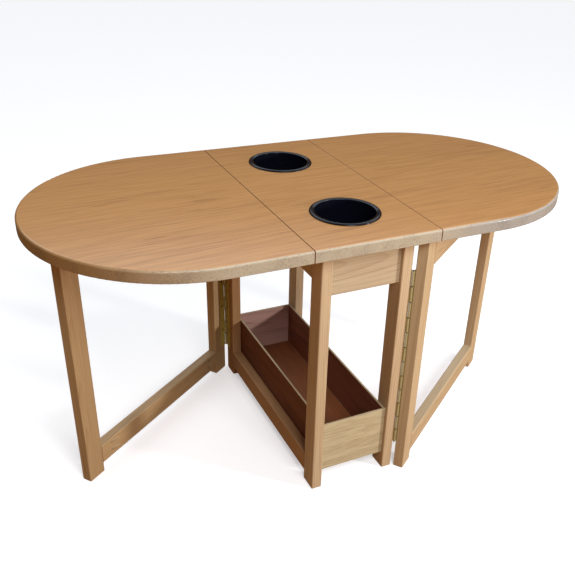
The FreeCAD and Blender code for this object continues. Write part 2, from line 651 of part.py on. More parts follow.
def check_and_write():
    """Stop on any failed object or bad shape; then write one STEP file for each sub-part."""
    doc.recompute()
    for item in doc.Objects:
        if "Invalid" in item.State or "Error" in item.State:
            raise RuntimeError(f"{item.Label} failed: {item.State}")
    for body in subparts:
        if body.Shape.isNull() or not body.Shape.isValid() or not body.Shape.Solids:
            raise RuntimeError(f"{body.Label} has no valid shape")
    os.makedirs("parts", exist_ok=True)
    for body in subparts:
        body.Shape.exportStep(f"parts/{body.Label}.step")
        print(f"{body.Label}: {len(body.Shape.Solids)} solids, {body.Shape.Volume / 1000:.1f} cm3")


fill_sheet()
make_centre_top()
make_leaf("left", "180")
make_leaf("right", "0")
make_frame()
make_tray()
make_top_fixings()
make_frame_screws()
make_tray_screws()
for gate_side in ("left", "right"):
    make_gate(gate_side)
    make_gate_hinge(gate_side)
    make_leaf_hinge(gate_side)
    make_gate_stop(gate_side)
make_liner("front", "-")
make_liner("back", "")
check_and_write()
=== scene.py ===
import json
import math

import bmesh
import bpy
from bpy.props import FloatProperty, FloatVectorProperty, IntProperty, PointerProperty
from mathutils import Matrix, Vector

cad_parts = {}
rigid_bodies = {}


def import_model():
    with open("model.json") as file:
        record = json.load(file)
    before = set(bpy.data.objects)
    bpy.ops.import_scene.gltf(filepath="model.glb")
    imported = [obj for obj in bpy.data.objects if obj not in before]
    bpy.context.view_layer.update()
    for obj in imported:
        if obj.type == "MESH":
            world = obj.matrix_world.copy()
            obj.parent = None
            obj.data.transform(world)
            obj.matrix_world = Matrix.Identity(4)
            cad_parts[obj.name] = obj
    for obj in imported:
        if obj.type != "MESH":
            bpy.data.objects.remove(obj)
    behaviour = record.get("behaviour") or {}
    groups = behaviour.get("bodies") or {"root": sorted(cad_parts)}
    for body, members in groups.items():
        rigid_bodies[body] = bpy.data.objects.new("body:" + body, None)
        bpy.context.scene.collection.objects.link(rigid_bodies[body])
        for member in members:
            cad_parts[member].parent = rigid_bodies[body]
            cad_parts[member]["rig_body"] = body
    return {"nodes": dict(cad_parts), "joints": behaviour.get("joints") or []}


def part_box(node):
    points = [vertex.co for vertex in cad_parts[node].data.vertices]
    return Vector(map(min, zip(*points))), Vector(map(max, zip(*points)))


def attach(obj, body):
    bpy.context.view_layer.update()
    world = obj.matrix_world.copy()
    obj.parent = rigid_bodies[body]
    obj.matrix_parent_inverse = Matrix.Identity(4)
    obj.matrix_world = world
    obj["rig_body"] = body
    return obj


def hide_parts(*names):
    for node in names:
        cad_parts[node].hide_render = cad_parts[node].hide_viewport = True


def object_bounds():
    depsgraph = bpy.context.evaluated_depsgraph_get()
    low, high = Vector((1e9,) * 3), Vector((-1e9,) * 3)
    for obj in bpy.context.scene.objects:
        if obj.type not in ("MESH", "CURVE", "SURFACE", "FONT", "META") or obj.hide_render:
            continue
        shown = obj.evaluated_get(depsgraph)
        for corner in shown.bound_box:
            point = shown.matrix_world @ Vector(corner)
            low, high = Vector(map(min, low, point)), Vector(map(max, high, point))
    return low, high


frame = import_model()
CAD_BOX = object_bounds()

bl_info = {
    "name": "Gateleg table",
    "version": (1, 0, 0),
    "blender": (4, 5, 0),
    "location": "3D View > Sidebar > Gateleg",
    "description": "Finishes an oval gateleg table and builds its studio",
    "category": "Object",
}

X, Y, Z = Vector((1, 0, 0)), Vector((0, 1, 0)), Vector((0, 0, 1))
SIDES = ("left", "right")
TOP_PIECES = ("centre_top", "left_leaf", "right_leaf")
HAIRLINE = 0.0002
SHARP_EDGE = math.radians(38)


# ---------------------------------------------------------------- settings


def colour(name, description, default):
    return FloatVectorProperty(name=name, description=description, subtype="COLOR", size=3,
                               min=0, max=1, default=default)


def length(name, description, default):
    return FloatProperty(name=name, description=description, default=default, min=0,
                         subtype="DISTANCE", unit="LENGTH", precision=4)


def share(name, description, default):
    return FloatProperty(name=name, description=description, default=default, min=0, max=1,
                         subtype="FACTOR")


class TopSettings(bpy.types.PropertyGroup):
    """The veneered top and its plain edge."""
    light: colour("Light veneer", "Colour of the early wood", (0.56, 0.27, 0.079))
    dark: colour("Dark veneer", "Colour of the late wood and of the streaks", (0.27, 0.10, 0.02))
    edge: colour("Edge", "Colour of the board's plain edge", (0.36, 0.31, 0.225))
    # The browner left end of the edge is painted shade, where the edge turns away from the light.
    edge_left_painted_shade: colour("Left edge", "Colour of the browner edge at the left end", (0.28, 0.155, 0.058))
    # The greyer edge at the right is painted light, the cool light that falls from the right.
    edge_right_painted_light: colour("Right edge", "Colour of the greyer edge at the right", (0.26, 0.24, 0.21))
    ring_spacing: length("Ring spacing", "Distance between growth rings on the veneer", 0.021)
    contrast: share("Figure", "How strongly the growth rings show", 0.16)
    veneer: length("Veneer", "How far down the arris the veneer shows", 0.00055)
    glue_line: colour("Glue line", "Colour of the thin line under the veneer", (0.42, 0.19, 0.07))
    seam_face: colour("Seam", "Colour of the lipped faces inside a seam", (0.36, 0.16, 0.07))
    seam: length("Seam width", "Gap between the centre and a leaf", 0.002)
    # The arris band is a painted highlight along the rounded upper edge.
    arris: length("Arris", "Height of the paler band along the rounded upper edge", 0.006)
    grain_tilt: FloatProperty(name="Grain tilt", description="Turn of the veneer's grain off the long axis",
                              subtype="ANGLE", default=math.radians(3))
    lacquer: share("Lacquer", "How glossy the lacquer is", 0.9)


class TimberSettings(bpy.types.PropertyGroup):
    """The solid timber of the frame and the gates."""
    light: colour("Light timber", "Colour of the early wood", (0.49, 0.375, 0.235))
    dark: colour("Dark timber", "Colour of the late wood", (0.24, 0.135, 0.062))
    # The left gate's darker, warmer tint is painted shade: that gate stands further from the light.
    left_gate_tint: colour("Left gate tint", "Tint of the timber in the left gate", (0.84, 0.74, 0.60))
    right_gate_tint: colour("Right gate tint", "Tint of the timber in the right gate", (1.0, 1.0, 0.97))
    apron_tint: colour("Apron tint", "Tint of the paler aprons", (0.90, 0.95, 1.0))
    # The rear tint is painted shade: the back left leg and the left bottom rail are darkened and reddened
    # where shade falls at the rear left.
    rear_painted_shade: colour("Rear tint", "Tint of the redder timber at the rear left", (0.80, 0.60, 0.45))
    ring_spacing: length("Ring spacing", "Distance between growth rings", 0.005)
    contrast: share("Figure", "How strongly the growth rings show", 0.45)
    # The paler long edges are a painted highlight along the arrises of each board.
    edge_highlight: share("Edge wear", "How much paler the long edges are", 0.25)
    edge_highlight_width: length("Wear width", "Width of the paler band at an edge", 0.003)


class TraySettings(bpy.types.PropertyGroup):
    """The storage tray's faced panels."""
    outside: colour("Outside", "Colour of the panels' outer faces", (0.45, 0.385, 0.24))
    fleck: colour("Fleck", "Colour of the short grain flecks", (0.30, 0.23, 0.13))
    inside: colour("Inside", "Colour of the panels' inner faces", (0.22, 0.078, 0.042))
    lipping: colour("Lipping", "Colour of the panels' edges", (0.42, 0.33, 0.20))


class MetalSettings(bpy.types.PropertyGroup):
    """Hinges and screws."""
    brass: colour("Brass", "Colour of clean brass", (0.58, 0.48, 0.13))
    tarnish: colour("Tarnish", "Colour of dulled brass", (0.38, 0.32, 0.07))
    dulling: share("Dulling", "How much of the brass is dulled", 0.6)
    # The paler knuckle colour is a painted highlight on the round knuckles.
    knuckle_highlight: colour("Worn brass", "Colour of the rubbed knuckles", (0.42, 0.39, 0.22))
    # The dark colour between the knuckles is painted shade in the gaps.
    painted_gap_shade: colour("Grease", "Colour of the dirt between the knuckles", (0.035, 0.03, 0.02))
    knuckle: length("Knuckle radius", "Radius of the hinges' knuckles", 0.0029)
    gate_knuckles: IntProperty(name="Gate knuckles", description="Knuckles of a gate's hinge", default=12,
                               min=2)
    leaf_knuckles: IntProperty(name="Leaf knuckles", description="Knuckles of a leaf's hinge", default=16,
                               min=2)
    screw: colour("Screw", "Colour of the screws", (0.05, 0.045, 0.03))
    recess_depth: length("Recess depth", "Depth of the cross recess in a screw head", 0.0012)


class LinerSettings(bpy.types.PropertyGroup):
    """The two black drop-in liners."""
    shell: colour("Shell", "Colour of the moulded liner", (0.003, 0.0035, 0.007))
    dust: colour("Dust", "Colour of the thin dust on the liner", (0.20, 0.19, 0.18))
    roughness: share("Roughness", "Roughness of the moulded surface", 0.13)
    rim_radius: length("Rim radius", "Outer radius of the rolled rim", 0.0865)
    body_radius: length("Body radius", "Outer radius of the body under the rim", 0.080)
    taper: length("Taper", "How much smaller the radius of the base is", 0.005)
    wall: length("Wall", "Thickness of the moulded wall", 0.0025)
    rim_width: length("Rim width", "Width of the rolled rim", 0.0125)
    collar: length("Collar", "Depth of the upright collar inside the rim", 0.006)
    segments: IntProperty(name="Segments", description="Steps round a liner", default=128, min=24)


class StageSettings(bpy.types.PropertyGroup):
    """Floor, lights and camera."""
    floor: colour("Floor", "Colour of the floor", (0.80, 0.80, 0.80))
    glow: share("Floor glow", "How much the floor is lifted towards white", 0.44)
    bounce: colour("Bounce", "Colour of the light that the floor throws back", (0.50, 0.25, 0.09))
    world: FloatProperty(name="Dome", description="Strength of the soft ceiling", default=1.15, min=0)
    dome: colour("Dome colour", "Colour of the ceiling", (0.86, 0.93, 1.0))
    horizon: colour("Horizon", "Colour of the room's walls", (0.10, 0.06, 0.032))
    backdrop: colour("Backdrop", "Colour behind the floor, as the camera sees it", (0.86, 0.86, 0.87))
    dome_low: FloatProperty(name="Dome start", description="Height at which the ceiling starts",
                            subtype="ANGLE", default=math.radians(22.5))
    dome_high: FloatProperty(name="Dome full", description="Height at which it is fully bright",
                             subtype="ANGLE", default=math.radians(27))
    floor_size: length("Floor size", "Side of the square floor", 60.0)
    lamp_tint: colour("Lamp tint", "Colour of both lights", (0.96, 0.97, 1.0))
    soft_power: FloatProperty(name="Soft light", description="Power of the large front light",
                              default=84, min=0, unit="POWER")
    soft_size: length("Soft light size", "Width of the large front light", 1.6)
    soft_place: FloatVectorProperty(name="Soft light place", description="Where the front light stands",
                                    size=3, subtype="TRANSLATION", unit="LENGTH",
                                    default=(-0.2, -2.6, 2.6))
    side_power: FloatProperty(name="Side light", description="Power of the small light at the right",
                              default=54, min=0, unit="POWER")
    side_size: length("Side light size", "Width of the small light", 0.3)
    side_place: FloatVectorProperty(name="Side light place", description="Where the small light stands",
                                    size=3, subtype="TRANSLATION", unit="LENGTH",
                                    default=(1.9, -2.1, 1.05))
    camera_place: FloatVectorProperty(name="Camera", description="Where the camera stands", size=3,
                                      subtype="TRANSLATION", unit="LENGTH",
                                      default=(-0.8134, -1.6421, 1.3897))
    camera_yaw: FloatProperty(name="Yaw", description="Camera's turn to the right of +Y",
                              subtype="ANGLE", default=math.radians(28.389))
    camera_pitch: FloatProperty(name="Pitch", description="Camera's tilt above the horizon",
                                subtype="ANGLE", default=math.radians(-30.152))
    camera_roll: FloatProperty(name="Roll", description="Camera's turn about its own axis",
                               subtype="ANGLE", default=math.radians(3.085))
    lens: FloatProperty(name="Lens", description="Focal length in millimetres", default=46.95, min=1)
    shift: FloatVectorProperty(name="Shift", description="Offset of the picture", size=2,
                               default=(-0.0713, 0.0555))


SETTINGS = {"gateleg_top": TopSettings, "gateleg_timber": TimberSettings, "gateleg_tray": TraySettings,
            "gateleg_metal": MetalSettings, "gateleg_liner": LinerSettings,
            "gateleg_stage": StageSettings}


# ---------------------------------------------------------------- node building


class Graph:
    """A short way to add and link shader nodes in a material or a group."""

    def __init__(self, tree):
        self.tree = tree

    def add(self, kind, **inputs):
        """Add a node. Inputs given as sockets are linked and others are set; _ stands for a space."""
        node = self.tree.nodes.new(kind)
        for name, value in inputs.items():
            self.feed(node.inputs[name.replace("_", " ")], value)
        return node

    def feed(self, socket, value):
        if isinstance(value, bpy.types.NodeSocket):
            self.tree.links.new(value, socket)
        elif isinstance(socket.default_value, float):
            socket.default_value = value
        else:
            blank = tuple(socket.default_value)
            socket.default_value = (*value, 1.0)[:len(blank)] if len(value) < len(blank) else value

    def math(self, operation, *values, clamp=False):
        node = self.tree.nodes.new("ShaderNodeMath")
        node.operation = operation
        node.use_clamp = clamp
        for socket, value in zip(node.inputs, values):
            self.feed(socket, value)
        return node.outputs[0]

    def vector(self, operation, *values):
        node = self.tree.nodes.new("ShaderNodeVectorMath")
        node.operation = operation
        for socket, value in zip(node.inputs, values):
            self.feed(socket, value)
        return node.outputs["Value" if operation in ("LENGTH", "DOT_PRODUCT") else "Vector"]

    def split(self, vector):
        node = self.tree.nodes.new("ShaderNodeSeparateXYZ")
        self.feed(node.inputs[0], vector)
        return node.outputs

    def noise(self, vector, scale=1.0, detail=2.0, roughness=0.5):
        node = self.add("ShaderNodeTexNoise", Vector=vector, Scale=scale, Detail=detail,
                        Roughness=roughness)
        return node.outputs["Fac"]

    def ramp(self, value, low, high, start=0.0, end=1.0):
        """A smooth step of a value from low to high, mapped to start and end."""
        node = self.tree.nodes.new("ShaderNodeMapRange")
        node.interpolation_type = "SMOOTHSTEP"
        for socket, setting in zip(node.inputs, (value, low, high, start, end)):
            self.feed(socket, setting)
        return node.outputs[0]

    def mix(self, factor, first, second):
        """Mix two colours."""
        node = self.tree.nodes.new("ShaderNodeMix")
        node.data_type = "RGBA"
        for socket, value in zip((node.inputs[0], node.inputs[6], node.inputs[7]),
                                 (factor, first, second)):
            self.feed(socket, value)
        return node.outputs[2]


def new_group(name, inputs, outputs):
    """A shader node group with named sockets: its graph, its input sockets and its output node."""
    tree = bpy.data.node_groups.new(name, "ShaderNodeTree")
    for socket_name, kind, default in inputs:
        socket = tree.interface.new_socket(socket_name, in_out="INPUT", socket_type=f"NodeSocket{kind}")
        socket.default_value = (*default, 1.0) if kind == "Color" else default
    for socket_name, kind in outputs:
        tree.interface.new_socket(socket_name, in_out="OUTPUT", socket_type=f"NodeSocket{kind}")
    graph = Graph(tree)
    return graph, tree.nodes.new("NodeGroupInput").outputs, tree.nodes.new("NodeGroupOutput").inputs


def wood_figure():
    """Growth rings, fibres and broad colour drift of a board whose grain runs along X."""
    graph, given, result = new_group(
        "Wood figure",
        [("Vector", "Vector", (0, 0, 0)), ("Seed", "Float", 0.0), ("Light", "Color", (0.5, 0.3, 0.1)),
         ("Dark", "Color", (0.3, 0.15, 0.05)), ("Ring Spacing", "Float", 0.008),
         ("Ring Sharpness", "Float", 2.2), ("Figure", "Float", 0.4), ("Streak", "Float", 0.2),
         ("Wisps", "Float", 0.2), ("Fibre", "Float", 0.15), ("Waviness", "Float", 0.02),
         ("Heart Depth", "Float", 0.06), ("Slope", "Float", 0.04)],
        [("Color", "Color"), ("Roughness", "Float"), ("Height", "Float")])
    shift = graph.vector("SCALE", (3.1, 1.7, 2.3))
    graph.feed(shift.node.inputs["Scale"], given["Seed"])
    place = graph.vector("ADD", given["Vector"], shift)
    slow = graph.noise(graph.vector("MULTIPLY", place, (1.6, 7.0, 7.0)), detail=2.0)
    quick = graph.noise(graph.vector("MULTIPLY", place, (6.0, 45.0, 45.0)), detail=2.0)
    bend = graph.math("MULTIPLY", graph.math("SUBTRACT", slow, 0.5), given["Waviness"])
    ripple = graph.math("MULTIPLY", graph.math("SUBTRACT", quick, 0.5),
                        graph.math("MULTIPLY", given["Waviness"], 0.22))
    x, y, z = graph.split(given["Vector"])
    offset = graph.math("MULTIPLY", graph.math("SINE", graph.math("MULTIPLY", given["Seed"], 2.4)), 0.02)
    across = graph.math("ADD", graph.math("ADD", y, offset), bend)
    depth = graph.math("ADD", graph.math("ADD", z, given["Heart Depth"]),
                       graph.math("MULTIPLY", x, given["Slope"]))
    square = graph.math("ADD", graph.math("MULTIPLY", across, across),
                        graph.math("MULTIPLY", depth, depth))
    radius = graph.math("ADD", graph.math("SQRT", square), graph.math("ADD", bend, ripple))
    count = graph.math("DIVIDE", radius, given["Ring Spacing"])
    phase = graph.math("FRACT", count)
    rise = graph.math("POWER", phase, given["Ring Sharpness"])
    fall = graph.ramp(phase, 0.93, 1.0, 1.0, 0.0)
    ring = graph.math("MULTIPLY", rise, fall)
    strength = graph.noise(graph.vector("MULTIPLY", place, (1.5, 25.0, 25.0)), detail=2.0)
    ring = graph.math("MULTIPLY", ring, graph.ramp(strength, 0.3, 0.65, 0.25, 1.0))
    fibre = graph.noise(graph.vector("MULTIPLY", place, (7.0, 330.0, 330.0)), detail=4.0, roughness=0.65)
    fibre = graph.ramp(fibre, 0.34, 0.66)
    streak = graph.noise(graph.vector("MULTIPLY", place, (2.2, 70.0, 70.0)), detail=4.0, roughness=0.6)
    wisp = graph.noise(graph.vector("MULTIPLY", place, (5.5, 46.0, 46.0)), detail=3.0, roughness=0.6)
    drift = graph.noise(graph.vector("MULTIPLY", place, (0.9, 5.0, 5.0)), detail=1.0)
    pore = graph.noise(graph.vector("MULTIPLY", place, (70.0, 1400.0, 1400.0)), detail=1.0)
    pore = graph.ramp(pore, 0.66, 0.78)
    tone = graph.math("MULTIPLY", ring, given["Figure"])
    fine = graph.math("MULTIPLY", graph.math("SUBTRACT", fibre, 0.5), given["Fibre"])
    broad = graph.math("MULTIPLY", graph.ramp(streak, 0.36, 0.66), given["Streak"])
    cloud = graph.math("MULTIPLY", graph.ramp(drift, 0.35, 0.65), given["Streak"])
    wisps = graph.math("MULTIPLY", graph.ramp(wisp, 0.61, 0.76), given["Wisps"])
    dots = graph.math("MULTIPLY", pore, graph.math("MULTIPLY", given["Fibre"], 0.8))
    for part in (fine, broad, cloud, wisps):
        tone = graph.math("ADD", tone, part)
    tone = graph.math("ADD", tone, dots, clamp=True)
    graph.feed(result["Color"], graph.mix(tone, given["Light"], given["Dark"]))
    graph.feed(result["Roughness"], graph.math("ADD", 0.34, graph.math("MULTIPLY", fibre, 0.14)))
    relief = graph.math("SUBTRACT", graph.math("MULTIPLY", fibre, 0.3), graph.math("MULTIPLY", pore, 0.7))
    graph.feed(result["Height"], graph.math("SUBTRACT", relief, graph.math("MULTIPLY", ring, 0.2)))
    return graph.tree


def edge_highlight_mask():
    """A mask of the arrises of a box-like board, from its own coordinates about its centre."""
    graph, given, result = new_group(
        "Edge wear",
        [("Vector", "Vector", (0, 0, 0)), ("Half Size", "Vector", (0.1, 0.1, 0.1)),
         ("Width", "Float", 0.003), ("Seed", "Float", 0.0)],
        [("Mask", "Float")])
    inset = graph.vector("SUBTRACT", given["Half Size"], graph.vector("ABSOLUTE", given["Vector"]))
    a, b, c = graph.split(inset)
    low, high = graph.math("MINIMUM", a, b), graph.math("MAXIMUM", a, b)
    middle = graph.math("MAXIMUM", low, graph.math("MINIMUM", high, c))
    shift = graph.vector("SCALE", (1.3, 2.1, 0.7))
    graph.feed(shift.node.inputs["Scale"], given["Seed"])
    patches = graph.noise(graph.vector("ADD", given["Vector"], shift), scale=28.0, detail=3.0)
    reach = graph.math("MULTIPLY", given["Width"], graph.ramp(patches, 0.3, 0.7, 0.4, 1.4))
    band = graph.ramp(graph.math("DIVIDE", middle, reach), 0.0, 1.0, 1.0, 0.0)
    graph.feed(result["Mask"], graph.math("MULTIPLY", band, graph.ramp(patches, 0.35, 0.6, 0.35, 1.0)))
    return graph.tree


def speckle():
    """Fine specks: round on pressed board, and long flecks where the vector is squeezed along the grain."""
    graph, given, result = new_group(
        "Speckle",
        [("Vector", "Vector", (0, 0, 0)), ("Density", "Float", 900.0), ("Amount", "Float", 0.5)],
        [("Mask", "Float"), ("Height", "Float")])
    fine = graph.noise(given["Vector"], scale=given["Density"], detail=2.0, roughness=0.6)
    broad = graph.noise(given["Vector"], scale=graph.math("MULTIPLY", given["Density"], 0.06), detail=2.0)
    specks = graph.ramp(fine, 0.42, 0.68)
    mask = graph.math("MULTIPLY", graph.math("ADD", specks, graph.ramp(broad, 0.35, 0.7, -0.15, 0.35)),
                      given["Amount"], clamp=True)
    graph.feed(result["Mask"], mask)
    graph.feed(result["Height"], fine)
    return graph.tree


def tarnish():
    """Cloudy dulling of bare metal, with fine handling scratches."""
    graph, given, result = new_group(
        "Tarnish",
        [("Vector", "Vector", (0, 0, 0)), ("Patch Size", "Float", 0.012), ("Amount", "Float", 0.5)],
        [("Mask", "Float"), ("Roughness", "Float"), ("Height", "Float")])
    density = graph.math("DIVIDE", 1.0, given["Patch Size"])
    clouds = graph.noise(given["Vector"], scale=density, detail=5.0, roughness=0.65)
    spots = graph.noise(given["Vector"], scale=graph.math("MULTIPLY", density, 9.0), detail=2.0)
    scratches = graph.noise(graph.vector("MULTIPLY", given["Vector"], (2600.0, 2600.0, 90.0)), detail=1.0)
    mask = graph.math("ADD", graph.ramp(clouds, 0.35, 0.7), graph.ramp(spots, 0.6, 0.75, 0.0, 0.4))
    mask = graph.math("MULTIPLY", mask, given["Amount"], clamp=True)
    graph.feed(result["Mask"], mask)
    graph.feed(result["Roughness"], graph.math("ADD", graph.math("MULTIPLY", mask, 0.3),
                                               graph.ramp(scratches, 0.5, 0.75, 0.24, 0.34)))
    graph.feed(result["Height"], scratches)
    return graph.tree


GROUPS = {"figure": ("Wood figure", wood_figure), "edge_highlight": ("Edge wear", edge_highlight_mask),
          "speckle": ("Speckle", speckle), "tarnish": ("Tarnish", tarnish)}


def group(graph, kind, **inputs):
    """Place a shared node group in a material, building it on first use."""
    title, build = GROUPS[kind]
    node = graph.tree.nodes.new("ShaderNodeGroup")
    node.node_tree = bpy.data.node_groups.get(title) or build()
    for name, value in inputs.items():
        graph.feed(node.inputs[name.replace("_", " ")], value)
    return node.outputs


# ---------------------------------------------------------------- materials


def new_material(name):
    """A material with one Principled shader: its graph, and the shader's input sockets."""
    material = bpy.data.materials.new(name)
    material.use_nodes = True
    graph = Graph(material.node_tree)
    shader = next(n for n in material.node_tree.nodes if n.type == "BSDF_PRINCIPLED")
    return material, graph, shader.inputs


def bump(graph, height, strength, distance):
    node = graph.add("ShaderNodeBump", Height=height, Strength=strength, Distance=distance)
    return node.outputs["Normal"]


class Board:
    """A board's own axes: along its grain, across its face and out of its face."""

    def __init__(self, node, grain, across):
        self.grain, self.across, self.out = grain, across, grain.cross(across)
        rows = Matrix((self.grain, self.across, self.out))
        places = [rows @ vertex.co for vertex in node.data.vertices]
        low = Vector(min(place[axis] for place in places) for axis in range(3))
        high = Vector(max(place[axis] for place in places) for axis in range(3))
        self.half = (high - low) / 2
        self.shift = -(high + low) / 2
        self.turn = rows.to_euler("XYZ")

    def vector(self, graph):
        """The surface's place in the board's own axes, from the middle of the board."""
        place = graph.add("ShaderNodeTexCoord").outputs["Object"]
        mapping = graph.add("ShaderNodeMapping", Vector=place, Location=self.shift, Rotation=self.turn)
        return mapping.outputs[0]


def paint(node, material):
    """Give a CAD node one material."""
    node.data.materials.clear()
    node.data.materials.append(material)


def shaded(colour_value, factor):
    return tuple(min(1.0, channel * factor) for channel in colour_value)


def timber_material(name, board, seed, settings, spacing=1.0, slope=0.04, tone=(1, 1, 1), heart=0.012,
                    contrast=1.0):
    """Solid timber with growth rings, fibre, fine pores and a painted highlight that makes the arrises
    paler.
    """
    material, graph, shader = new_material(name)
    vector = board.vector(graph)
    light, dark = (tuple(a * b for a, b in zip(shade, tone)) for shade in (settings.light, settings.dark))
    figure = group(graph, "figure", Vector=vector, Seed=seed, Light=light, Dark=dark,
                   Ring_Spacing=settings.ring_spacing * spacing, Figure=settings.contrast * contrast,
                   Streak=0.14, Ring_Sharpness=4.0, Wisps=0.12, Fibre=0.2, Waviness=0.008,
                   Heart_Depth=heart, Slope=slope)
    # Painted highlight: the arrises are mixed towards a paler copy of the light wood.
    edge_highlight = group(graph, "edge_highlight", Vector=vector, Half_Size=board.half, Width=settings.edge_highlight_width, Seed=seed)
    factor = graph.math("MULTIPLY", edge_highlight["Mask"], settings.edge_highlight)
    graph.feed(shader["Base Color"], graph.mix(factor, figure["Color"], shaded(light, 1.18)))
    graph.feed(shader["Roughness"], figure["Roughness"])
    graph.feed(shader["Normal"], bump(graph, figure["Height"], 0.25, 0.0004))
    shader["Specular IOR Level"].default_value = 0.22
    shader["Coat Weight"].default_value = 0.05
    shader["Coat Roughness"].default_value = 0.3
    return material


def top_material(settings, board, low, high):
    """Veneer above and below, and a plain pressed edge between them."""
    material, graph, shader = new_material("Veneered board")
    vector = board.vector(graph)
    figure = group(graph, "figure", Vector=vector, Seed=3.7, Light=settings.light[:], Dark=settings.dark[:],
                   Ring_Spacing=settings.ring_spacing, Figure=settings.contrast, Streak=0.13,
                   Ring_Sharpness=3.0, Wisps=0.42, Fibre=0.45, Waviness=0.085, Heart_Depth=0.30, Slope=0.055)
    specks = group(graph, "speckle", Vector=vector, Density=420.0, Amount=0.7)
    top, underside = high.z, low.z
    place = graph.split(graph.add("ShaderNodeTexCoord").outputs["Object"])
    across, height = place["X"], place["Z"]
    # Painted shade: the plain edge turns browner and darker towards the left end.
    plain = graph.mix(graph.ramp(across, -0.68, -0.30, 1.0, 0.0), settings.edge[:], settings.edge_left_painted_shade[:])
    # Painted light: the plain edge turns paler and greyer towards the right.
    plain = graph.mix(graph.ramp(across, 0.10, 0.34), plain, settings.edge_right_painted_light[:])
    shade = graph.ramp(specks["Mask"], 0.0, 1.0, 1.0, 0.62)
    # Painted highlight: a band just under the top of the plain edge is made up to 1.3 times paler, where the
    # rounded arris catches the light.
    arris_highlight = graph.ramp(height, top - settings.arris, top - settings.arris * 0.3, 1.0, 1.3)
    edge = graph.vector("SCALE", plain)
    graph.feed(edge.node.inputs["Scale"], graph.math("MULTIPLY", shade, arris_highlight))
    from_seam = graph.math("ABSOLUTE", graph.math("SUBTRACT", graph.math("ABSOLUTE", across),
                                                  high.x + settings.seam / 2))
    gap = settings.seam / 2
    in_seam = graph.ramp(from_seam, gap + HAIRLINE, gap + 2.5 * HAIRLINE, 1.0, 0.0)
    edge = graph.mix(in_seam, edge, settings.seam_face[:])
    above = graph.ramp(height, top - settings.veneer * 1.3, top - settings.veneer)
    below = graph.ramp(height, underside + settings.veneer, underside + settings.veneer * 1.3, 1.0, 0.0)
    line = graph.math("MULTIPLY", graph.ramp(height, top - settings.veneer * 2.2, top - settings.veneer),
                      graph.math("SUBTRACT", 1.0, above))
    edge = graph.mix(graph.math("MULTIPLY", line, 0.8), edge, settings.glue_line[:])
    faced = graph.math("MAXIMUM", above, below)
    graph.feed(shader["Base Color"], graph.mix(faced, edge, figure["Color"]))
    roughness = graph.math("ADD", figure["Roughness"],
                           graph.math("MULTIPLY", graph.math("SUBTRACT", 1.0, faced), 0.12))
    graph.feed(shader["Roughness"], roughness)
    relief = graph.math("ADD", graph.math("MULTIPLY", figure["Height"], faced),
                        graph.math("MULTIPLY", specks["Height"], graph.math("SUBTRACT", 1.0, faced)))
    graph.feed(shader["Normal"], bump(graph, relief, 0.18, 0.0003))
    shader["Specular IOR Level"].default_value = 0.2
    graph.feed(shader["Coat Weight"], graph.ramp(faced, 0.0, 1.0, 0.1, settings.lacquer))
    shader["Coat Roughness"].default_value = 0.13
    shader["Coat IOR"].default_value = 1.75
    return material


def panel_material(name, board, seed, settings, outer_face, tone):
    """A faced panel: outer_face decides the veneer outside, and its edges are lipped. tone scales the inside
    colour panel by panel as painted light and shade.
    """
    material, graph, shader = new_material(name)
    vector = board.vector(graph)
    # Painted light and shade: tone lightens, darkens and recolours the inside colour of each panel.
    inside_with_painted_light = tuple(min(1.0, a * b) for a, b in zip(settings.inside, tone))
    inner = group(graph, "figure", Vector=vector, Seed=seed, Light=inside_with_painted_light, Dark=shaded(inside_with_painted_light, 0.5),
                  Ring_Spacing=0.013, Figure=0.5, Streak=0.2, Wisps=0.3,
                  Fibre=0.4, Waviness=0.03, Heart_Depth=0.12, Slope=0.03)
    squeezed = graph.vector("MULTIPLY", vector, (0.05, 1.3, 1.3))
    flecks = group(graph, "speckle", Vector=squeezed, Density=420.0, Amount=0.75)
    oak = graph.mix(flecks["Mask"], settings.outside[:], settings.fleck[:])
    x, y, z = graph.split(vector)
    outside = graph.ramp(z, -HAIRLINE, HAIRLINE)
    colour_now = inner["Color"]
    if outer_face == "oak":
        colour_now = graph.mix(outside, colour_now, oak)
    long_edge = graph.ramp(graph.math("ABSOLUTE", y), board.half.y - 3 * HAIRLINE, board.half.y - HAIRLINE)
    short_edge = graph.ramp(graph.math("ABSOLUTE", x), board.half.x - 3 * HAIRLINE, board.half.x - HAIRLINE)
    lipped = graph.math("MAXIMUM", long_edge, short_edge)
    specks = group(graph, "speckle", Vector=vector, Density=700.0, Amount=0.35)
    lipping = graph.mix(specks["Mask"], settings.lipping[:], shaded(settings.lipping, 0.6))
    graph.feed(shader["Base Color"], graph.mix(lipped, colour_now, lipping))
    graph.feed(shader["Roughness"], graph.math("ADD", inner["Roughness"], 0.05))
    shader["Specular IOR Level"].default_value = 0.25
    relief = graph.math("ADD", inner["Height"], graph.math("MULTIPLY", flecks["Height"], 0.5))
    graph.feed(shader["Normal"], bump(graph, relief, 0.25, 0.0003))
    return material


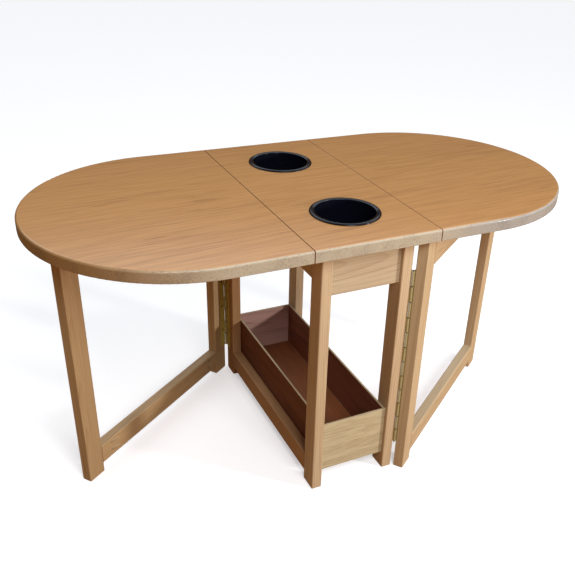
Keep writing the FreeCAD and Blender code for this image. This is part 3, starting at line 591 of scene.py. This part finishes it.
def brass_material(settings, name, pin_node, knuckles):
    """Brass strip, dulled in patches, with a painted highlight on the knuckles and painted shade in the gaps
    between them.
    """
    material, graph, shader = new_material(name)
    place = graph.add("ShaderNodeTexCoord").outputs["Object"]
    dull = group(graph, "tarnish", Vector=place, Patch_Size=0.016, Amount=settings.dulling)
    low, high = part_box(pin_node)
    span = high - low
    run = max(range(3), key=lambda axis: span[axis])
    middle = (low + high) / 2
    flat = [0 if axis == run else 1 for axis in range(3)]
    sideways = graph.vector("MULTIPLY", graph.vector("SUBTRACT", place, middle[:]), flat)
    from_pin = graph.vector("LENGTH", sideways)
    knuckle = graph.ramp(from_pin, settings.knuckle, settings.knuckle + 0.0004, 1.0, 0.0)
    turns = graph.math("DIVIDE", graph.math("SUBTRACT", graph.split(place)[run], low[run]),
                       span[run] / knuckles)
    from_joint = graph.math("ABSOLUTE", graph.math("SUBTRACT", graph.math("FRACT", turns), 0.5))
    # Painted shade: a dark band at each joint between the knuckles, where the gaps lie in shade; it also
    # takes the metal out there.
    painted_gap_shade = graph.math("MULTIPLY", graph.ramp(from_joint, 0.455, 0.475), knuckle)
    bare = graph.mix(dull["Mask"], settings.brass[:], settings.tarnish[:])
    # Painted highlight: the knuckles get a paler, greyer brass than the strip.
    knuckle_highlight = graph.mix(dull["Mask"], settings.knuckle_highlight[:], shaded(settings.knuckle_highlight, 0.7))
    metal = graph.mix(painted_gap_shade, graph.mix(knuckle, bare, knuckle_highlight), settings.painted_gap_shade[:])
    graph.feed(shader["Base Color"], metal)
    graph.feed(shader["Roughness"], dull["Roughness"])
    graph.feed(shader["Metallic"], graph.math("MULTIPLY", graph.math("SUBTRACT", 1.0, painted_gap_shade),
                                              graph.ramp(dull["Mask"], 0.0, 1.0, 0.25, 0.1)))
    graph.feed(shader["Normal"], bump(graph, dull["Height"], 0.08, 0.0002))
    return material


def screw_material(settings):
    """Darkened steel."""
    material, graph, shader = new_material("Screw steel")
    place = graph.add("ShaderNodeTexCoord").outputs["Object"]
    dull = group(graph, "tarnish", Vector=place, Patch_Size=0.003, Amount=0.8)
    steel = graph.mix(dull["Mask"], settings.screw[:], shaded(settings.screw, 0.45))
    graph.feed(shader["Base Color"], steel)
    graph.feed(shader["Roughness"], dull["Roughness"])
    shader["Metallic"].default_value = 1.0
    graph.feed(shader["Normal"], bump(graph, dull["Height"], 0.05, 0.0001))
    return material


def liner_material(settings):
    """Moulded gloss black with a faint orange-peel surface and a little dust."""
    material, graph, shader = new_material("Moulded liner")
    place = graph.add("ShaderNodeTexCoord").outputs["Object"]
    dust = graph.noise(place, scale=70.0, detail=5.0, roughness=0.7)
    dusty = graph.ramp(dust, 0.6, 0.85, 0.0, 0.05)
    graph.feed(shader["Base Color"], graph.mix(dusty, settings.shell[:], settings.dust[:]))
    graph.feed(shader["Roughness"], graph.ramp(dust, 0.4, 0.75, settings.roughness,
                                               settings.roughness + 0.12))
    peel = graph.noise(place, scale=260.0, detail=2.0)
    graph.feed(shader["Normal"], bump(graph, peel, 0.05, 0.0004))
    shader["Specular IOR Level"].default_value = 0.32
    return material


def floor_material(settings):
    """Floor that looks pale to the camera, but lights the object like a browner one."""
    material, graph, shader = new_material("Floor")
    place = graph.add("ShaderNodeTexCoord").outputs["Object"]
    clouds = graph.noise(place, scale=0.6, detail=2.0)
    pale = graph.mix(clouds, settings.floor[:], shaded(settings.floor, 0.985))
    seen = graph.add("ShaderNodeLightPath").outputs["Is Camera Ray"]
    graph.feed(shader["Base Color"], graph.mix(seen, settings.bounce[:], pale))
    shader["Roughness"].default_value = 0.95
    shader["Specular IOR Level"].default_value = 0.1
    graph.feed(shader["Emission Color"], graph.mix(seen, (0, 0, 0), (1, 1, 1)))
    shader["Emission Strength"].default_value = settings.glow
    return material


def studio_dome(settings):
    """A soft ceiling over a dim brown room; the camera sees a plain pale backdrop instead."""
    world = bpy.data.worlds.new("Studio")
    world.use_nodes = True
    graph = Graph(world.node_tree)
    backing = next(node for node in world.node_tree.nodes if node.type == "BACKGROUND")
    side, behind, height = graph.split(graph.add("ShaderNodeTexCoord").outputs["Generated"])
    rise = graph.ramp(height, math.sin(settings.dome_low), math.sin(settings.dome_high))
    away = graph.ramp(graph.math("ADD", behind, graph.math("MULTIPLY", side, 0.6)), -0.7, 0.2)
    rise = graph.math("MULTIPLY", rise, away)
    seen = graph.add("ShaderNodeLightPath").outputs["Is Camera Ray"]
    room = graph.mix(rise, settings.horizon[:], settings.dome[:])
    graph.feed(backing.inputs["Color"], graph.mix(seen, room, settings.backdrop[:]))
    backing.inputs["Strength"].default_value = settings.world
    return world


# ---------------------------------------------------------------- meshes


def rounded_profile(corners, steps=6):
    """A profile of (radius, height, rounding) corners with each corner turned into a short arc."""
    points = []
    for number, (radius, height, rounding) in enumerate(corners):
        here = Vector((radius, height))
        if rounding == 0 or number in (0, len(corners) - 1):
            points.append(here)
            continue
        before = Vector(corners[number - 1][:2]) - here
        after = Vector(corners[number + 1][:2]) - here
        reach = min(rounding / math.tan(before.angle(after) / 2), before.length / 2, after.length / 2)
        start, end = here + before.normalized() * reach, here + after.normalized() * reach
        for step in range(steps + 1):
            share_done = step / steps
            first, second = start.lerp(here, share_done), here.lerp(end, share_done)
            points.append(first.lerp(second, share_done))
    return points


def turned(mesh, profile, segments, place):
    """Turn a profile of (radius, height) points about an upright axis at place, closed at both ends."""
    rings = []
    for radius, height in profile:
        if radius < 1e-6:
            rings.append([mesh.verts.new(place @ Vector((0, 0, height)))])
            continue
        angles = (2 * math.pi * step / segments for step in range(segments))
        rings.append([mesh.verts.new(place @ Vector((radius * math.cos(a), radius * math.sin(a), height)))
                      for a in angles])
    for lower, upper in zip(rings, rings[1:]):
        for step in range(segments):
            following = (step + 1) % segments
            if len(lower) == 1:
                mesh.faces.new((lower[0], upper[following], upper[step]))
            elif len(upper) == 1:
                mesh.faces.new((lower[step], lower[following], upper[0]))
            else:
                mesh.faces.new((lower[step], lower[following], upper[following], upper[step]))


def new_piece(name, mesh, material, body, replaced):
    """Turn a bmesh into a smooth piece that rides on a body and stands for CAD nodes."""
    bmesh.ops.recalc_face_normals(mesh, faces=mesh.faces)
    data = bpy.data.meshes.new(name)
    mesh.to_mesh(data)
    mesh.free()
    data.materials.append(material)
    data.shade_smooth()
    data.set_sharp_from_angle(angle=SHARP_EDGE)
    piece = bpy.data.objects.new(name, data)
    bpy.context.scene.collection.objects.link(piece)
    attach(piece, body)
    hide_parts(replaced)
    return piece


def liner_profile(settings, low, high, seat):
    """Section of a liner from the middle of its base up the inside, over the rolled rim and down outside."""
    rim, body, wall = settings.rim_radius, settings.body_radius, settings.wall
    foot = body - settings.taper
    mouth = rim - settings.rim_width
    ridge = 0.0012
    inside = [(0, low + wall, 0), (foot * 0.42, low + wall, 0.0006),
              (foot * 0.44, low + wall + ridge, 0.0006), (foot * 0.50, low + wall + ridge, 0.0006),
              (foot * 0.52, low + wall, 0.0006), (foot - wall - 0.002, low + wall, 0.007),
              (mouth, seat - settings.collar, 0.003), (mouth, high - 0.0016, 0.0012),
              (mouth + 0.0016, high - 0.0012, 0.0008), (rim - 0.0062, high, 0.003)]
    outside = [(rim - 0.0022, high - 0.0006, 0.002), (rim, seat + 0.0014, 0.0012),
               (rim - 0.0004, seat + 0.0001, 0.0004), (body, seat + 0.0001, 0.0002),
               (foot, low + 0.006, 0.004), (foot - 0.006, low, 0.004), (0, low, 0)]
    return rounded_profile([*inside, *outside])


def islands(node):
    """The separate solids of a CAD node, as lists of points."""
    mesh = bmesh.new()
    mesh.from_mesh(node.data)
    bmesh.ops.remove_doubles(mesh, verts=mesh.verts, dist=1e-5)
    waiting, found = set(mesh.verts), []
    while waiting:
        queue = [waiting.pop()]
        points = []
        while queue:
            vertex = queue.pop()
            points.append(vertex.co.copy())
            for edge in vertex.link_edges:
                other = edge.other_vert(vertex)
                if other in waiting:
                    waiting.remove(other)
                    queue.append(other)
        found.append(points)
    mesh.free()
    return sorted(found, key=lambda points: tuple(round(c, 4) for c in sum(points, Vector()) / len(points)))


def screw_place(points):
    """The frame of one screw, with Z out of its head, its head's radius and its length."""
    centre = sum(points, Vector()) / len(points)
    tip = max(points, key=lambda point: (point - centre).length)
    outward = (centre - tip).normalized()
    length_found = max((point - tip).dot(outward) for point in points)
    radius = max((point - tip - outward * (point - tip).dot(outward)).length for point in points)
    turn = outward.to_track_quat("Z", "Y").to_matrix().to_4x4()
    return Matrix.Translation(tip + outward * length_found) @ turn, radius, length_found


def cross_head(mesh, place, radius, recess, segments):
    """The top of a screw head: shallow dome with a cross recess."""
    rings = [[mesh.verts.new(place @ Vector((0, 0, -recess)))]]
    for reach in (0.16, 0.30, 0.44, 0.56, 0.66, 0.80, 0.93, 1.0):
        ring = []
        for step in range(segments):
            angle = 2 * math.pi * step / segments
            x, y = reach * math.cos(angle), reach * math.sin(angle)
            in_cross = min(abs(x), abs(y)) < 0.17 and max(abs(x), abs(y)) < 0.60
            height = -recess * (1 - 0.5 * reach) if in_cross else -0.04 * radius * reach ** 4
            ring.append(mesh.verts.new(place @ Vector((x * radius, y * radius, height))))
        rings.append(ring)
    for inner, outer in zip(rings, rings[1:]):
        for step in range(segments):
            following = (step + 1) % segments
            if len(inner) == 1:
                mesh.faces.new((inner[0], outer[step], outer[following]))
            else:
                mesh.faces.new((inner[step], outer[step], outer[following], inner[following]))


def screw(mesh, place, radius, length_given, recess, segments=24, turns=7):
    """A countersunk wood screw with a cross recess, a threaded shank and a point."""
    cross_head(mesh, place, radius, recess, segments)
    shank, neck = radius * 0.5, -radius * 0.6
    profile = [(radius, -0.04 * radius), (radius * 0.98, -0.09 * radius), (shank, neck)]
    pitch = (length_given * 0.88 + neck) / turns
    for turn in range(turns):
        height = neck - pitch * (turn + 0.5)
        profile += [(shank, height + pitch * 0.3), (shank * 1.2, height), (shank, height - pitch * 0.3)]
    profile += [(shank * 0.85, -length_given * 0.9), (0, -length_given)]
    turned(mesh, profile, segments, place)


# ---------------------------------------------------------------- operators


def gate_direction(side):
    """Unit vector along an open gate, away from its hinge."""
    swing = next(joint for joint in frame["joints"] if joint["name"] == f"{side}_gate_swing")
    angle = math.radians(max(swing["range_deg"], key=abs))
    toward = -1 if side == "left" else 1
    return Vector((toward * math.sin(abs(angle)), toward * math.cos(abs(angle)), 0))


def boards():
    """Every solid timber board with its grain direction and the direction across its face."""
    found = [(f"{end}_{side}_leg", Z, X) for end in ("front", "back") for side in SIDES]
    found += [(f"{end}_apron", X, Z) for end in ("front", "back")]
    found += [("top_fixing_blocks", Y, X)]
    for side in SIDES:
        along = gate_direction(side)
        found += [(f"{side}_{level}_rail", Y, Z) for level in ("bottom", "top")]
        found += [(f"{side}_gate_{post}_post", Z, along) for post in ("inner", "outer")]
        found += [(f"{side}_gate_{level}_rail", along, Z) for level in ("bottom", "top")]
        found += [(f"{side}_gate_stop", Y, X)]
    return found


class GATELEG_OT_top(bpy.types.Operator):
    """Face the centre of the top and its two leaves with one run of veneer"""
    bl_idname = "gateleg.top"
    bl_label = "Finish the top"

    def execute(self, context):
        settings = context.scene.gateleg_top
        centre = frame["nodes"]["centre_top"]
        low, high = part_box("centre_top")
        tilt = Matrix.Rotation(settings.grain_tilt, 3, "Z")
        material = top_material(settings, Board(centre, tilt @ X, tilt @ Y), low, high)
        for name in TOP_PIECES:
            paint(frame["nodes"][name], material)
        return {"FINISHED"}


class GATELEG_OT_timber(bpy.types.Operator):
    """Give every leg, post, rail, apron and block its own piece of timber"""
    bl_idname = "gateleg.timber"
    bl_label = "Finish the timber"

    def execute(self, context):
        settings = context.scene.gateleg_timber
        # The left gate's tint and the rear tint are painted shade.
        tints_and_painted_shade = {"left_gate": settings.left_gate_tint, "right_gate": settings.right_gate_tint,
                 "apron": settings.apron_tint, "back_left_leg": settings.rear_painted_shade,
                 "left_bottom_rail": settings.rear_painted_shade}
        for number, (name, grain, across) in enumerate(boards()):
            node = frame["nodes"][name]
            wide = "apron" in name
            level = 1.0 + 0.05 * math.sin(number * 2.3)
            tint = next((shade for part, shade in tints_and_painted_shade.items() if part in name), (1, 1, 1))
            tone = tuple(level * channel for channel in tint)
            material = timber_material(name.replace("_", " ").capitalize(), Board(node, grain, across),
                                       1.7 + number * 1.31, settings,
                                       spacing=2.3 if wide else 1.0, slope=0.10 if wide else 0.03,
                                       tone=tone, heart=0.02 if wide else 0.012,
                                       contrast=1.5 if wide else 1.0)
            paint(node, material)
        return {"FINISHED"}


class GATELEG_OT_tray(bpy.types.Operator):
    """Face and lip the panels of the storage tray"""
    bl_idname = "gateleg.tray"
    bl_label = "Finish the tray"

    def execute(self, context):
        settings = context.scene.gateleg_tray
        # Each panel's tone scales the inside colour as painted light and shade: the back is lighter and
        # greyer for the light falling on it, the left side darker for its shade, the right side a little
        # lighter and the floor more orange.
        panels = [("tray_front", X, Z, "oak", (1, 1, 1)), ("tray_back", X, -Z, "oak", (2.2, 3.6, 5.4)),
                  ("tray_floor", Y, X, "oak", (1.0, 0.95, 0.6)),
                  ("tray_left_side", Y, -Z, "plain", (0.65, 0.5, 0.4)),
                  ("tray_right_side", Y, Z, "plain", (1.15, 1.05, 1.0))]
        for number, (name, grain, across, outer_face, tone) in enumerate(panels):
            node = frame["nodes"][name]
            board = Board(node, grain, across)
            paint(node, panel_material(name.replace("_", " ").capitalize(), board, 0.9 + number * 1.9,
                                       settings, outer_face, tone))
        return {"FINISHED"}


class GATELEG_OT_hinges(bpy.types.Operator):
    """Give the long hinges and their pins dulled brass"""
    bl_idname = "gateleg.hinges"
    bl_label = "Finish the hinges"

    def execute(self, context):
        settings = context.scene.gateleg_metal
        for side in SIDES:
            for joint, knuckles in (("gate", settings.gate_knuckles), ("leaf", settings.leaf_knuckles)):
                hinge = f"{side}_{joint}_hinge"
                brass = brass_material(settings, hinge.replace("_", " ").capitalize(), f"{hinge}_pin",
                                       knuckles)
                for part in ("fixed", "moving", "pin"):
                    paint(frame["nodes"][f"{hinge}_{part}"], brass)
        return {"FINISHED"}


class GATELEG_OT_screws(bpy.types.Operator):
    """Make the cross-headed screws that show, and darken the sunk ones"""
    bl_idname = "gateleg.screws"
    bl_label = "Make the screws"

    def execute(self, context):
        settings = context.scene.gateleg_metal
        steel = screw_material(settings)
        shown = ["tray_screws"]
        for side in SIDES:
            shown += [f"{side}_gate_hinge_leg_screws", f"{side}_gate_hinge_post_screws",
                      f"{side}_leaf_hinge_panel_screws", f"{side}_leaf_hinge_leaf_screws"]
        for name, node in frame["nodes"].items():
            if name in shown:
                mesh = bmesh.new()
                for points in islands(node):
                    screw(mesh, *screw_place(points), settings.recess_depth)
                bmesh.ops.remove_doubles(mesh, verts=mesh.verts, dist=1e-7)
                new_piece(f"{name}_cross_headed", mesh, steel, node["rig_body"], name)
            elif name.endswith("_screws"):
                paint(node, steel)
        return {"FINISHED"}


class GATELEG_OT_liners(bpy.types.Operator):
    """Mould the two drop-in liners with a rolled rim and a ringed base"""
    bl_idname = "gateleg.liners"
    bl_label = "Make the liners"

    def execute(self, context):
        settings = context.scene.gateleg_liner
        material = liner_material(settings)
        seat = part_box("centre_top")[1].z
        for end in ("front", "back"):
            low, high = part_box(f"{end}_liner")
            mesh = bmesh.new()
            centre = Matrix.Translation(Vector(((low.x + high.x) / 2, (low.y + high.y) / 2, 0)))
            turned(mesh, liner_profile(settings, low.z, high.z, seat), settings.segments, centre)
            new_piece(f"{end}_liner_moulded", mesh, material, f"{end}_liner", f"{end}_liner")
        return {"FINISHED"}


class GATELEG_OT_stage(bpy.types.Operator):
    """Lay the floor, hang the lights and set up the camera"""
    bl_idname = "gateleg.stage"
    bl_label = "Build the studio"

    def execute(self, context):
        settings = context.scene.gateleg_stage
        scene = context.scene
        mesh = bmesh.new()
        bmesh.ops.create_grid(mesh, x_segments=8, y_segments=8, size=settings.floor_size / 2)
        data = bpy.data.meshes.new("Floor")
        mesh.to_mesh(data)
        mesh.free()
        data.materials.append(floor_material(settings))
        floor = bpy.data.objects.new("Floor", data)
        scene.collection.objects.link(floor)
        floor.location.z = -0.0005
        scene.world = studio_dome(settings)

        for name, power, size, place in (
                ("Soft front light", settings.soft_power, settings.soft_size, settings.soft_place),
                ("Side light", settings.side_power, settings.side_size, settings.side_place)):
            lamp = bpy.data.lights.new(name, "AREA")
            lamp.shape, lamp.size = "DISK", size
            lamp.energy, lamp.color = power, settings.lamp_tint
            light = bpy.data.objects.new(name, lamp)
            light.location = place
            light.rotation_euler = (light.location - CAD_BOX[1] / 2).to_track_quat("Z", "Y").to_euler()
            light.visible_camera = False
            scene.collection.objects.link(light)

        camera_data = bpy.data.cameras.new("Camera")
        camera = bpy.data.objects.new("Camera", camera_data)
        camera.location = settings.camera_place
        camera.rotation_euler = (Matrix.Rotation(-settings.camera_yaw, 3, "Z")
                                 @ Matrix.Rotation(math.pi / 2 + settings.camera_pitch, 3, "X")
                                 @ Matrix.Rotation(settings.camera_roll, 3, "Z")).to_euler()
        camera_data.lens = settings.lens
        camera_data.shift_x, camera_data.shift_y = settings.shift
        camera_data.clip_end = 60
        scene.collection.objects.link(camera)
        scene.camera = camera
        scene.view_settings.view_transform = "Standard"
        return {"FINISHED"}


class GATELEG_PT_panel(bpy.types.Panel):
    """Settings and steps of the gateleg table"""
    bl_idname = "GATELEG_PT_panel"
    bl_label = "Gateleg table"
    bl_space_type = "VIEW_3D"
    bl_region_type = "UI"
    bl_category = "Gateleg"

    def draw(self, context):
        for name, kind in SETTINGS.items():
            box = self.layout.box()
            box.label(text=kind.__doc__)
            for setting in kind.__annotations__:
                box.prop(getattr(context.scene, name), setting)
        for step in STEPS:
            self.layout.operator(step.bl_idname)


STEPS = (GATELEG_OT_top, GATELEG_OT_timber, GATELEG_OT_tray, GATELEG_OT_hinges, GATELEG_OT_screws,
         GATELEG_OT_liners, GATELEG_OT_stage)


def register():
    for kind in (*SETTINGS.values(), *STEPS, GATELEG_PT_panel):
        bpy.utils.register_class(kind)
    for name, kind in SETTINGS.items():
        setattr(bpy.types.Scene, name, PointerProperty(type=kind))


def unregister():
    for name in SETTINGS:
        delattr(bpy.types.Scene, name)
    for kind in reversed((*SETTINGS.values(), *STEPS, GATELEG_PT_panel)):
        bpy.utils.unregister_class(kind)


def main():
    register()
    for step in STEPS:
        family, action = step.bl_idname.split(".")
        getattr(getattr(bpy.ops, family), action)()


if __name__ == "__main__":
    main()
